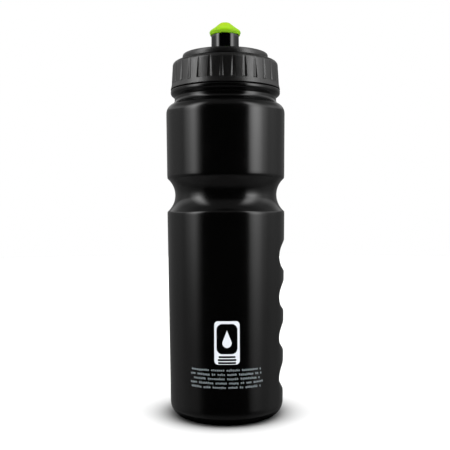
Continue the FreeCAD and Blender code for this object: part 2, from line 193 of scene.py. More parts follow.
# %% Smooth joins
def smooth_min(a, b, width):
    """The smaller of two surfaces, with the crease between them rounded over a width."""
    near = np.clip(1 - np.abs(a - b) / width, 0, 1)
    return np.minimum(a, b) - near * near * width / 4


def smooth_step(value, low, high):
    """0 below low, 1 above high, and an S-curve between."""
    part = np.clip((value - low) / (high - low), 0, 1)
    return part * part * (3 - 2 * part)


print("two equal walls, joined over 0.4:", smooth_min(1.0, 1.0, 0.4))

# %% [markdown]
# ## The squeezable body
#
# The real bottle is blown from soft polyethylene inside a two-part mould, so its wall is about as
# thick everywhere and its inside follows its outside. The outline goes out along the base, up the
# outside, over the lip and down the inside, which makes one closed skin. The waist and the four
# finger grips are round grooves. Each is a circle whose surface is known by a formula, and the
# smooth minimum of the wall and that circle gives the groove together with its rounded edge.

# %% Sizes of the body
LIP_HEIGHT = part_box("bottle_body")[1].z / MM
WALL = 1.1
BASE_RADIUS = 35.1
BASE_ROUND = 8.6
WAIST_EDGE_RADIUS = 36.6
WAIST_LOW, WAIST_HIGH = 126.6, 147.4
WAIST_MIDDLE = (WAIST_LOW + WAIST_HIGH) / 2
WAIST_RADIUS = 31.7
SHOULDER_RADIUS = 37.0
SHOULDER_HEIGHT = 191.4
THROAT_RADIUS = 31.7
THROAT_FOOT = SHOULDER_HEIGHT + 2.5
BEAD_RADIUS = 34.1
BEAD_FOOT, BEAD_WIDEST, BEAD_TOP = 197.4, 199.4, 201.75
NECK_RADIUS = 29.9
MOUTH_RADIUS = 28.1
DOME_RADIUS, DOME_RISE = 21.0, 4.0
GRIP_HEIGHTS = 24.2 + 25.0 * np.arange(4)
GRIP_DEPTHS = 3.3 + 0.2 * np.arange(4)
GRIP_ARC = 13.2
print(f"lip at {LIP_HEIGHT:.1f} mm, grips at {GRIP_HEIGHTS}")


# %% The grooves as formulas
WAIST_EDGE_ROUND, GRIP_EDGE_ROUND = 0.45, 0.55


def groove_bow(half_height, depth):
    """The radius of the circle that is depth deep over a chord of twice half_height."""
    return (half_height ** 2 + depth ** 2) / (2 * depth)


def waist_surface(height):
    """Radius of the waist groove: a circle outside the wall, bulging towards the axis."""
    bow = groove_bow((WAIST_HIGH - WAIST_LOW) / 2, WAIST_EDGE_RADIUS - WAIST_RADIUS)
    inside = np.clip(bow ** 2 - (height - WAIST_MIDDLE) ** 2, 0, None)
    return WAIST_RADIUS + bow - np.sqrt(inside)


def plain_wall(height):
    """Radius of the lower body without grips: a slight cone that widens upwards."""
    return BASE_RADIUS + (WAIST_EDGE_RADIUS - BASE_RADIUS) * height / WAIST_LOW


def grip_surface(height, angle):
    """Radius of the finger grips, which are circles in the XZ plane carried along Y.

    A grip's surface lies at x = centre - sqrt(arc^2 - rise^2), and a ray at an angle from +X
    meets it at that x divided by the angle's cosine.
    """
    surface = np.full(np.broadcast(height, angle).shape, 1e3)
    facing = np.cos(angle)
    for middle, depth in zip(GRIP_HEIGHTS, GRIP_DEPTHS):
        rise = np.abs(height - middle)
        inside = np.clip(GRIP_ARC ** 2 - rise ** 2, 0, None)
        across = plain_wall(middle) - depth + GRIP_ARC - np.sqrt(inside)
        ray = np.where(facing > 0.5, across / np.maximum(facing, 0.5), 1e3)
        surface = np.minimum(surface, ray)
    return surface


print(f"the waist is {waist_surface(WAIST_MIDDLE):.1f} mm from the axis at its narrowest")

# %% The neck's screw thread
THREAD_PITCH = 6.0
THREAD_DEPTH = 1.1
THREAD_ROOT, THREAD_CREST = 2.4, 1.2
THREAD_RUN_OUT = 0.06


def thread_ridge(height, angle, start, turns):
    """Height of a screw ridge over its wall, from 0 to 1.

    The ridge's middle climbs by the pitch in a turn. Across it, the ridge falls from crest to
    root over its flank, and along it, it dies away over the run-out, in turns, at both ends.
    """
    turn = np.mod(angle, 2 * np.pi) / (2 * np.pi)
    ridge = np.zeros(np.broadcast(height, angle).shape)
    for lap in range(int(np.ceil(turns)) + 1):
        place = turn + lap
        off = np.abs(height - start - THREAD_PITCH * place)
        across = 1 - smooth_step(off, THREAD_CREST / 2, THREAD_ROOT / 2)
        rising = smooth_step(place, 0, THREAD_RUN_OUT)
        falling = 1 - smooth_step(place, turns - THREAD_RUN_OUT, turns)
        ridge = np.maximum(ridge, across * rising * falling)
    return ridge


print(f"thread: {THREAD_DEPTH} mm deep, climbs {THREAD_PITCH} mm in a turn")

# %% Shape the body
SEAM_RISE, SEAM_FLAT, SEAM_EDGE = 0.06, 0.05, 0.35
SEAM_START, SEAM_FULL = 1.0, 8.0
NECK_THREAD_START, NECK_THREAD_TURNS = 207.0, 1.1


def on_outer_skin(radius, height):
    """True on the outside of the wall and the neck, but not on the base, throat or bead.

    A point counts where its radius is over a limit: just under the neck's radius above the bead,
    and about the middle of the wall below it.
    """
    return radius > np.where(height > BEAD_TOP, NECK_RADIUS - 0.1, plain_wall(height) - 0.6)


def body_reshape(radius, height, angle):
    """Waist and grips on both skins, and the neck thread and parting seam on the outer one.

    The inner skin follows the grooves a wall's thickness further in. The thread and the seam are
    ridges whose height is added to the radius.
    """
    outside = on_outer_skin(radius, height)
    wall_zone = (height > 3) & (height < SHOULDER_HEIGHT - 8) & (radius > 30)
    inset = np.where(outside, 0, WALL)
    grooved = smooth_min(radius, waist_surface(height) - inset, WAIST_EDGE_ROUND)
    grooved = smooth_min(grooved, grip_surface(height, angle) - inset, GRIP_EDGE_ROUND)
    shaped = np.where(wall_zone, grooved, radius)
    on_neck = outside & (height > BEAD_TOP + 1) & (height < LIP_HEIGHT - 0.5)
    ridge = thread_ridge(height, angle, NECK_THREAD_START, NECK_THREAD_TURNS)
    shaped = shaped + np.where(on_neck, ridge * THREAD_DEPTH, 0)
    from_seam = np.abs(shaped * np.sin(angle))
    seam = SEAM_RISE * (1 - smooth_step(from_seam, SEAM_FLAT, SEAM_EDGE))
    seam = seam * smooth_step(height, SEAM_START, SEAM_FULL)
    return shaped + np.where(outside, seam, 0)


print(f"parting seam: {SEAM_RISE} mm proud")

# %% The body's outline
BODY_STEP, GRIP_STEP, WAIST_STEP, NECK_STEP, INSIDE_STEP = 1.8, 1.2, 0.6, 0.32, 2.2


def body_spacing(radius, height):
    """Short steps where the outer skin bends, and at least twice as long ones inside."""
    step = np.full(radius.shape, BODY_STEP)
    step = np.where((height > 8) & (height < 112), GRIP_STEP, step)
    step = np.where(np.abs(height - WAIST_MIDDLE) < 13, WAIST_STEP, step)
    step = np.where((height > BEAD_TOP + 1) & (height < LIP_HEIGHT - 1), NECK_STEP, step)
    return np.where(on_outer_skin(radius, height), step, np.maximum(step * 2.0, INSIDE_STEP))


def dome(rise, count=9):
    """Corners on the base's pushed-up dome, a shallow arc over its radius."""
    bow = groove_bow(DOME_RADIUS, DOME_RISE)
    across = np.linspace(0, DOME_RADIUS, count, endpoint=False)
    up = np.sqrt(bow ** 2 - across ** 2) - (bow - DOME_RISE) + rise
    return [(a, u, 0) for a, u in zip(across, up)]


def body_outline():
    """The bottle's section, from the middle of the base round to the middle of its inside."""
    outer = dome(0) + [
        (DOME_RADIUS, 0, 1.5),
        (BASE_RADIUS, 0, BASE_ROUND),
        (WAIST_EDGE_RADIUS, WAIST_LOW, 0),
        (WAIST_EDGE_RADIUS, WAIST_HIGH, 0),
        (SHOULDER_RADIUS, SHOULDER_HEIGHT, 6.1),
        (THROAT_RADIUS, THROAT_FOOT, 3.0),
        (THROAT_RADIUS, BEAD_FOOT, 0.6),
        (BEAD_RADIUS, BEAD_WIDEST, 1.9),
        (BEAD_RADIUS, BEAD_TOP, 0.6),
        (NECK_RADIUS, BEAD_TOP, 0.6),
        (NECK_RADIUS, LIP_HEIGHT, 0.6),
    ]
    inner = [
        (MOUTH_RADIUS, LIP_HEIGHT, 0.6),
        (MOUTH_RADIUS, BEAD_TOP, 2.0),
        (THROAT_RADIUS - WALL, BEAD_FOOT, 2.0),
        (THROAT_RADIUS - WALL, SHOULDER_HEIGHT + 1.9, 1.0),
        (SHOULDER_RADIUS - WALL, SHOULDER_HEIGHT - 0.6, 5.0),
        (WAIST_EDGE_RADIUS - WALL, WAIST_HIGH, 0),
        (WAIST_EDGE_RADIUS - WALL, WAIST_LOW, 0),
        (BASE_RADIUS - WALL, WALL, BASE_ROUND - WALL),
        (DOME_RADIUS, WALL, 1.5),
    ] + dome(WALL)[::-1]
    return refine(rounded(outer + inner, False), False, body_spacing)


# %% Turn the outline into the body
BODY_COLUMNS = 232
SEAM_COLUMN_GAP = radians(0.12)

seam_angles = SEAM_COLUMN_GAP * np.array([-4, -2, -1, 1, 2, 4])
body_angles = np.concatenate([even_angles(BODY_COLUMNS), seam_angles, np.pi + seam_angles])
body_angles = np.unique(np.round(np.mod(body_angles, 2 * np.pi), 6))
body = lathe("bottle_skin", body_outline(), body_angles, body_reshape)
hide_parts("bottle_body")
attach(body, "bottle")

# %% [markdown]
# ## The screw cap
#
# The cap is one injection moulding: a skirt with thirty tapered grip notches, a raised disc and a
# fixed spout that the nozzle slides on. Each notch is a cone that leans with the skirt, cut off
# square at its lower end. The columns of the grid are packed closer together at each notch.

# %% Sizes of the cap
CAP_BOTTOM, CAP_TOP = 202.15, 219.3
CAP_BOTTOM_RADIUS, CAP_BAND_RADIUS, CAP_TOP_RADIUS = 34.2, 33.5, 32.65
CAP_BAND_TOP = CAP_BOTTOM + 3.0
CAP_BORE = 31.3
DISC_RADIUS, DISC_TOP = 26.7, 224.05
GROOVE_LOW, GROOVE_MIDDLE, GROOVE_HIGH = CAP_TOP + 0.8, CAP_TOP + 1.1, CAP_TOP + 1.5
GROOVE_DEPTH = 0.4
BOSS_RADIUS, BOSS_TOP = 9.6, 224.55
SPOUT_RADIUS, SPOUT_BORE, SPOUT_TOP = 6.3, 4.6, 235.0
CATCH_RADIUS, CATCH_FOOT, CATCH_TOP = 6.9, 232.6, 234.0
PLUG_RADIUS, PLUG_INNER, PLUG_FOOT = 27.8, 26.6, 211.5
UNDER_TOP, UNDER_DISC = 217.5, 222.25
RECESS_RADIUS = 24.7
NOTCH_COUNT = 30
NOTCH_PHASE = radians(2.0)
NOTCH_WIDE, NOTCH_NARROW, NOTCH_OUTSET = 2.02, 1.56, 1.5
NOTCH_FOOT, NOTCH_HEAD = CAP_BAND_TOP + 0.2, CAP_BAND_TOP + 14.0
NOTCH_REACH, NOTCH_EDGE_ROUND = 1.6, 0.06
CAP_THREAD_START, CAP_THREAD_TURNS = NECK_THREAD_START - 2.1, 1.25
print(f"notches every {360 / NOTCH_COUNT:.0f} degrees")


# %% Shape the cap
def notch_surface(height, angle):
    """Radius of the notches: a cone whose axis leans along the skirt, a little outside it.

    Across the notch the cut is a circle, so its surface lies sqrt(q^2 - s^2) inside the axis,
    where q is the cone's radius at this height and s the distance along the skirt.
    """
    pitch = 2 * np.pi / NOTCH_COUNT
    from_middle = np.mod(angle - NOTCH_PHASE + pitch / 2, pitch) - pitch / 2
    along = CAP_BAND_RADIUS * from_middle
    climb = (height - NOTCH_FOOT) / (NOTCH_HEAD - NOTCH_FOOT)
    cone = NOTCH_WIDE + (NOTCH_NARROW - NOTCH_WIDE) * climb
    axis = CAP_BAND_RADIUS + NOTCH_OUTSET - (CAP_BAND_RADIUS - CAP_TOP_RADIUS) * climb
    cut = axis - np.sqrt(np.clip(cone ** 2 - along ** 2, 0, None))
    in_reach = (climb >= 0) & (climb <= 1) & (np.abs(along) < NOTCH_REACH)
    return np.where(in_reach, cut, 1e3)


def cap_reshape(radius, height, angle):
    """Grip notches outside the skirt and a screw ridge inside it."""
    outside = radius > CAP_TOP_RADIUS - 2.6
    skirt = outside & (height > CAP_BAND_TOP) & (radius > CAP_BORE + 0.3)
    notched = smooth_min(radius, notch_surface(height, angle), NOTCH_EDGE_ROUND)
    shaped = np.where(skirt, notched, radius)
    inner_wall = (np.abs(radius - CAP_BORE) < 0.05) & (height < UNDER_TOP - 1)
    ridge = thread_ridge(height, angle, CAP_THREAD_START, CAP_THREAD_TURNS)
    return shaped - np.where(inner_wall & (height > CAP_BOTTOM + 0.4), ridge * THREAD_DEPTH, 0)


notch_depth = NOTCH_WIDE - NOTCH_OUTSET
print(f"notches: {notch_depth:.2f} mm deep at the foot")

# %% The cap's outline
CAP_STEP, NOTCH_STEP, CAP_THREAD_STEP = 3.0, 0.75, 0.42
CAP_THREAD_HIGH = 214


def cap_spacing(radius, height):
    """Short steps along the notches and the thread."""
    step = np.full(radius.shape, CAP_STEP)
    on_skirt = (radius > CAP_BORE + 0.3) & (height > CAP_BAND_TOP + 0.3) & (height < CAP_TOP - 2)
    step = np.where(on_skirt, NOTCH_STEP, step)
    thread = (np.abs(radius - CAP_BORE) < 0.05) & (height < CAP_THREAD_HIGH)
    return np.where(thread, CAP_THREAD_STEP, step)


def cap_outline():
    """The cap's section: skirt, shoulder, disc, spout, and back along the underside."""
    corners = [
        (CAP_BORE, CAP_BOTTOM, 0.3),
        (CAP_BOTTOM_RADIUS, CAP_BOTTOM, 0.35),
        (CAP_BAND_RADIUS, CAP_BAND_TOP, 0),
        (CAP_BAND_RADIUS - 0.01, NOTCH_FOOT - 0.02, 0),
        (CAP_BAND_RADIUS - 0.012, NOTCH_FOOT + 0.02, 0),
        (CAP_TOP_RADIUS, CAP_TOP, 2.1),
        (DISC_RADIUS, CAP_TOP, 0.35),
        (DISC_RADIUS, GROOVE_LOW, 0.1),
        (DISC_RADIUS - GROOVE_DEPTH, GROOVE_MIDDLE, 0.1),
        (DISC_RADIUS, GROOVE_HIGH, 0.1),
        (DISC_RADIUS, DISC_TOP - 1.4, 0.2),
        (DISC_RADIUS - 0.2, DISC_TOP, 0.3),
        (BOSS_RADIUS, DISC_TOP, 0.2),
        (BOSS_RADIUS, BOSS_TOP, 0.25),
        (SPOUT_RADIUS, BOSS_TOP, 0.2),
        (SPOUT_RADIUS, CATCH_FOOT, 0.1),
        (CATCH_RADIUS, CATCH_FOOT, 0.2),
        (CATCH_RADIUS, CATCH_TOP, 0.4),
        (SPOUT_RADIUS, SPOUT_TOP, 0.4),
        (SPOUT_BORE, SPOUT_TOP, 0.3),
        (SPOUT_BORE, UNDER_DISC, 0.3),
        (RECESS_RADIUS, UNDER_DISC, 0.6),
        (RECESS_RADIUS, UNDER_TOP, 0.3),
        (PLUG_INNER, UNDER_TOP, 0.3),
        (PLUG_INNER, PLUG_FOOT, 0.3),
        (PLUG_RADIUS, PLUG_FOOT, 0.4),
        (PLUG_RADIUS, UNDER_TOP, 0.3),
        (CAP_BORE, UNDER_TOP, 0.6),
    ]
    return refine(rounded(corners, True, 22.0), True, cap_spacing)


# %% Turn the outline into the cap
notch_columns = radians(1.0) * np.array(
    [-4.2, -2.75, -2.35, -2.0, -1.5, -1.0, -0.5, 0, 0.5, 1.0, 1.5, 2.0, 2.35, 2.75, 4.2, 6]
)
notch_middles = NOTCH_PHASE + even_angles(NOTCH_COUNT)
cap_angles = np.sort(np.mod(notch_middles[:, None] + notch_columns, 2 * np.pi).ravel())
cap = lathe("cap_moulding", cap_outline(), cap_angles, cap_reshape)
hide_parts("screw_cap")
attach(cap, "cap")

# %% [markdown]
# ## The closing pin in the spout
#
# When the nozzle is pushed down, a pin in the middle of the spout fills the drinking hole. Three
# thin ribs hold the pin in the waterway. They are hidden until the nozzle is looked into from
# above, so the pin is a small lathed piece and each rib is a thin box that runs into both.

# %% Make the pin and its ribs
PIN_RADIUS, PIN_FOOT, PIN_TOP = 2.4, 224.0, 243.8
RIB_THICKNESS, RIB_START = 1.2, 1.0
RIB_FOOT, RIB_HEAD = 224.5, 231.5

pin_section = [
    (0, PIN_FOOT, 0),
    (PIN_RADIUS, PIN_FOOT, 0.3),
    (PIN_RADIUS, PIN_TOP, 0.6),
    (0, PIN_TOP, 0),
]
pin = lathe("closing_pin", rounded(pin_section, False), even_angles(64))


def pin_ribs(name):
    """Three upright plates from inside the pin out into the middle of the spout's wall.

    A unit box is stretched to one plate, and a turn by an angle a sends (x, y) to
    (x cos a - y sin a, x sin a + y cos a).
    """
    corner = np.array([[0, 0, 0], [1, 0, 0], [1, 1, 0], [0, 1, 0],
                       [0, 0, 1], [1, 0, 1], [1, 1, 1], [0, 1, 1]], float)
    reach = (SPOUT_RADIUS + SPOUT_BORE) / 2
    plate = corner * [reach - RIB_START, RIB_THICKNESS, RIB_HEAD - RIB_FOOT]
    plate += [RIB_START, -RIB_THICKNESS / 2, RIB_FOOT]
    box_faces = np.array([[0, 3, 2, 1], [4, 5, 6, 7], [0, 1, 5, 4],
                          [1, 2, 6, 5], [2, 3, 7, 6], [3, 0, 4, 7]])
    turns = even_angles(3)
    x = plate[:, 0] * np.cos(turns)[:, None] - plate[:, 1] * np.sin(turns)[:, None]
    y = plate[:, 0] * np.sin(turns)[:, None] + plate[:, 1] * np.cos(turns)[:, None]
    z = np.broadcast_to(plate[:, 2], x.shape)
    points = np.stack([x, y, z], axis=-1).reshape(-1, 3)
    faces = (box_faces[None] + 8 * np.arange(3)[:, None, None]).reshape(-1, 4)
    return make_piece(name, points, faces.tolist(), smooth=False)


ribs = pin_ribs("pin_ribs")
for part in (pin, ribs):
    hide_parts("screw_cap")
    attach(part, "cap")

# %% [markdown]
# ## The push-pull nozzle
#
# The nozzle is a polished black sleeve with a soft green tip moulded over its top. The tip is a
# small hat: a round rim that the teeth can hold, a flank that leans in, and a hole in the crown.

# %% Make the sleeve and the tip
sleeve_low, sleeve_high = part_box("nozzle_sleeve")
SLEEVE_FOOT, SLEEVE_TOP = sleeve_low.z / MM, sleeve_high.z / MM
TIP_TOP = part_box("mouthpiece")[1].z / MM
SLEEVE_RADIUS, SLEEVE_BORE, SLEEVE_LIP = 8.6, 7.0, 6.4
SLEEVE_SHOULDER, SLEEVE_NECK, SLEEVE_LIP_HEIGHT = 236.5, 7.9, 1.8
TIP_FOOT_RADIUS, TIP_RIM_RADIUS, TIP_RIM_RISE = 9.2, 9.98, 2.35
FLANK_RADIUS, FLANK_DROP = 6.6, 3.2
CROWN_RADIUS, CROWN_DROP = 3.7, 0.85
OUTLET_RIM_RADIUS, OUTLET_RIM_DROP = 2.85, 0.25
OUTLET_RADIUS, OUTLET_DROP = 2.5, 0.35
TIP_ROOF, TIP_HOLLOW = 240.6, 5.4

sleeve_section = [
    (SLEEVE_LIP, SLEEVE_FOOT, 0.2),
    (SLEEVE_RADIUS, SLEEVE_FOOT, 0.35),
    (SLEEVE_RADIUS, SLEEVE_SHOULDER, 0.15),
    (SLEEVE_NECK, SLEEVE_SHOULDER, 0),
    (SLEEVE_NECK, SLEEVE_TOP, 0.2),
    (SLEEVE_BORE, SLEEVE_TOP, 0.2),
    (SLEEVE_BORE, SLEEVE_FOOT + SLEEVE_LIP_HEIGHT, 0.2),
    (SLEEVE_LIP, SLEEVE_FOOT + SLEEVE_LIP_HEIGHT, 0.2),
]
tip_section = [
    (SLEEVE_NECK - 0.05, SLEEVE_SHOULDER, 0),
    (SLEEVE_RADIUS + 0.1, SLEEVE_SHOULDER, 0.05),
    (TIP_FOOT_RADIUS, SLEEVE_SHOULDER + 0.05, 0.2),
    (TIP_RIM_RADIUS, SLEEVE_SHOULDER + TIP_RIM_RISE, 1.5),
    (FLANK_RADIUS, TIP_TOP - FLANK_DROP, 8.0),
    (CROWN_RADIUS, TIP_TOP - CROWN_DROP, 1.6),
    (OUTLET_RIM_RADIUS, TIP_TOP - OUTLET_RIM_DROP, 0.4),
    (OUTLET_RADIUS, TIP_TOP - OUTLET_DROP, 0.15),
    (OUTLET_RADIUS, TIP_ROOF, 0.2),
    (TIP_HOLLOW, TIP_ROOF, 0.4),
    (TIP_HOLLOW, SLEEVE_TOP, 0),
    (SLEEVE_NECK - 0.05, SLEEVE_TOP, 0),
]
sleeve_outline = refine(rounded(sleeve_section, True, 15.0), True, even_spacing(1.5))
tip_outline = refine(rounded(tip_section, True, 6.0), True, even_spacing(0.5))
sleeve = lathe("sleeve_moulding", sleeve_outline, even_angles(128))
tip = lathe("soft_tip", tip_outline, even_angles(144))
for part, node, slot in (
    (sleeve, "nozzle_sleeve", "sleeve_black"),
    (tip, "mouthpiece", "tip_green"),
):
    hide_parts(node)
    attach(part, "nozzle")

# %% [markdown]
# ## The print
#
# The front carries a white badge and five lines of small print. Both are generic here: the badge
# holds a black panel with a white drop of water and three plain bars, and each line is a row of
# small marks that stand for letters without being any. Ink is a skin a few hundredths of a
# millimetre thick. A patch is a grid of (distance along the wall, height) that is laid on the wall
# by turning the distance into an angle, and its rim is closed down into the wall.

# %% Lay flat patches on the wall
INK = 0.04
SUNK = 0.1


def ink_patch(name, across, up, layer):
    """Closed slabs of ink on the front of the body.

    across and up have the shape (patches, rows, columns), in millimetres along the wall and in
    height. A point at distance s from the front's middle lies at the angle s / wall radius, and
    the slab reaches from inside the wall to layer thicknesses of ink above it.
    """
    patches, rows, columns = across.shape
    angle = across / plain_wall(up) - np.pi / 2

    def skin(lift):
        """The patches' points at a distance outside the wall, as (patches, points, 3)."""
        radius = plain_wall(up) + lift
        points = np.stack([radius * np.cos(angle), radius * np.sin(angle), up], axis=-1)
        return points.reshape(patches, -1, 3)

    points = np.concatenate([skin(INK * layer), skin(-SUNK)], axis=1)
    size = rows * columns
    top = grid_quads(rows, columns, False, False)
    under = top[:, ::-1] + size
    index = np.arange(size).reshape(rows, columns)
    rim = np.concatenate([index[0, :-1], index[:-1, -1], index[-1, :0:-1], index[:0:-1, 0]])
    after = np.roll(rim, -1)
    side = np.stack([rim, rim + size, after + size, after], axis=-1)
    faces = np.concatenate([top, under, side])
    shift = 2 * size * np.arange(patches)[:, None, None]
    return make_piece(name, points.reshape(-1, 3), (faces[None] + shift).reshape(-1, 4).tolist())


print(f"one layer of ink is {INK} mm thick")


# %% Outlines of the printed shapes
def filled(middle, height, half_width, rows, columns):
    """One patch whose half width changes with height, as a (1, rows, columns) grid.

    half_width is a function of the distance from the patch's middle, from -height / 2 to
    height / 2. Rows are closer together at the ends, where outlines curve most.
    """
    rise = -np.cos(np.linspace(0, np.pi, rows)) * height / 2
    along = np.linspace(-1, 1, columns)
    across = half_width(rise)[:, None] * along + middle[0]
    up = np.broadcast_to((rise + middle[1])[:, None], across.shape)
    return across[None], up[None]


def round_box(width, height, corner):
    """Half width of a box with round corners: a corner draws the edge in along a circle."""
    def half_width(rise):
        """Half the box's width less the corner, plus the corner circle's half chord."""
        over = np.clip(np.abs(rise) - (height / 2 - corner), 0, corner)
        return width / 2 - corner + np.sqrt(np.clip(corner ** 2 - over ** 2, 1e-4, None))
    return half_width


def water_drop(width, height):
    """Half width of a drop: a circle below and straight flanks that meet in a point above."""
    radius = width / 2
    centre = -height / 2 + radius
    reach = height / 2 - centre
    touch = radius ** 2 / reach

    def half_width(rise):
        """The circle's half chord below where the flanks touch it, and the flank above."""
        above = rise - centre
        circle = np.sqrt(np.clip(radius ** 2 - above ** 2, 1e-4, None))
        slope = np.sqrt(radius ** 2 - touch ** 2) / (reach - touch)
        flank = np.clip((reach - above) * slope, 0.01, None)
        return np.where(above < touch, circle, flank)
    return half_width


print("half width of a 2 mm round box at its middle:", round_box(2, 2, 0.5)(np.array([0.0])))

# %% Print the badge
BADGE_MIDDLE = (0.25, 50.35)
BADGE_WIDTH, BADGE_HEIGHT, BADGE_CORNER = 14.9, 25.3, 2.2
PANEL_WIDTH, PANEL_HEIGHT, PANEL_CORNER = 12.2, 17.6, 3.4
PANEL_MIDDLE = (0.25, 52.6)
DROP_WIDTH, DROP_HEIGHT = 5.4, 10.2
BAR_HEIGHT, BAR_PITCH, BAR_CORNER = 1.15, 1.75, 0.3
BAR_WIDTHS = (9.8, 10.8, 10.4)
TOP_BAR_MIDDLE = 42.1

badge_grid = filled(
    BADGE_MIDDLE, BADGE_HEIGHT, round_box(BADGE_WIDTH, BADGE_HEIGHT, BADGE_CORNER),
    rows=40, columns=33,
)
panel_grid = filled(
    PANEL_MIDDLE, PANEL_HEIGHT, round_box(PANEL_WIDTH, PANEL_HEIGHT, PANEL_CORNER),
    rows=36, columns=25,
)
drop_grid = filled(
    PANEL_MIDDLE, DROP_HEIGHT, water_drop(DROP_WIDTH, DROP_HEIGHT), rows=48, columns=13,
)
bar_grids = [
    filled(
        (BADGE_MIDDLE[0], TOP_BAR_MIDDLE - BAR_PITCH * row), BAR_HEIGHT,
        round_box(width, BAR_HEIGHT, BAR_CORNER), rows=8, columns=19,
    )
    for row, width in enumerate(BAR_WIDTHS)
]
badge = ink_patch("badge_ground", *badge_grid, layer=1)
panel = ink_patch("badge_panel", *panel_grid, layer=2)
drop = ink_patch("badge_drop", *drop_grid, layer=3)
bars = ink_patch("badge_bars", *(np.concatenate(grids) for grids in zip(*bar_grids)), layer=2)
print(f"badge: {BADGE_WIDTH} by {BADGE_HEIGHT} mm, {len(BAR_WIDTHS)} bars")

# %% Print the small lines
LINE_TOP, LINE_PITCH = 34.2, 2.53
LINE_HALF_WIDTHS = (21.6, 22.3, 20.2, 22.4, 21.8)
LETTER_PITCH, LETTER_WIDTH, LETTER_HEIGHT, STROKE = 1.14, 0.62, 0.98, 0.15
WORD_STEPS = (3, 11)
TALL_RISE, TALL_ABOVE = 0.36, 0.72
DEEP_FALL, DEEP_BELOW = 0.32, 0.16
dice = np.random.default_rng(7)


def small_line(row, half_width):
    """Centres, widths, feet and heads of the strokes of one line, in words of two to nine marks.

    Each mark is two uprights with a bar between them. A left upright reaches up where its draw
    is above TALL_ABOVE, a right one reaches down where it is below DEEP_BELOW, and the bar lies
    at the foot, in the middle or at the head.
    """
    places = np.arange(-half_width + LETTER_WIDTH / 2, half_width, LETTER_PITCH)
    word_ends = np.cumsum(dice.integers(*WORD_STEPS, len(places)))
    kept = places[~np.isin(np.arange(len(places)), word_ends)]
    reach = dice.random(len(kept))
    level = dice.integers(0, 3, len(kept)) / 2 * (LETTER_HEIGHT - STROKE)
    foot = np.full(len(kept), LINE_TOP - LINE_PITCH * row - LETTER_HEIGHT / 2)
    head = foot + LETTER_HEIGHT
    thin = np.full(len(kept), STROKE)
    aside = (LETTER_WIDTH - STROKE) / 2
    between = np.full(len(kept), LETTER_WIDTH - STROKE * 2)
    left = [kept - aside, thin, foot, head + np.where(reach > TALL_ABOVE, TALL_RISE, 0.0)]
    right = [kept + aside, thin, foot - np.where(reach < DEEP_BELOW, DEEP_FALL, 0.0), head]
    bar = [kept, between, foot + level, foot + level + STROKE]
    return np.concatenate([np.stack(strokes, axis=-1) for strokes in (left, right, bar)])


strokes = np.concatenate([small_line(row, half) for row, half in enumerate(LINE_HALF_WIDTHS)])
sides = np.array([-0.5, 0.5])
stroke_across = strokes[:, 0, None, None] + strokes[:, 1, None, None] * sides[None, None, :]
stroke_up = strokes[:, 2:4, None]
stroke_across, stroke_up = np.broadcast_arrays(stroke_across, stroke_up)
lines = ink_patch("small_print", stroke_across, stroke_up, layer=1)
print(f"{len(strokes)} strokes in {len(LINE_HALF_WIDTHS)} lines")
for part, slot in (
    (badge, "print_white"), (panel, "bottle_black"), (drop, "print_white"),
    (bars, "bottle_black"), (lines, "print_white"),
):
    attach(part, "bottle")

# %% [markdown]
# ## Shader arithmetic
#
# A material's pattern is arithmetic on texture values. Written as Python expressions it stays
# short: one class wraps a socket, and each operator on it adds a Math node to the same tree.

# %% A socket that can be calculated with
class Wire:
    """A value in a node tree. Adding, taking away, multiplying and dividing add Math nodes."""

    def __init__(self, finish, socket):
        self.finish = finish
        self.socket = socket

    def math(self, operation, first, second):
        """One Math node that works on two values, each a number or a wire."""
        return self.finish.node("ShaderNodeMath", {"operation": operation}, {0: first, 1: second})

    def __add__(self, other):
        return self.math("ADD", self, other)

    def __sub__(self, other):
        return self.math("SUBTRACT", self, other)

    def __rsub__(self, other):
        return self.math("SUBTRACT", other, self)

    def __mul__(self, other):
        return self.math("MULTIPLY", self, other)

    def __truediv__(self, other):
        return self.math("DIVIDE", self, other)

    __radd__ = __add__
    __rmul__ = __mul__


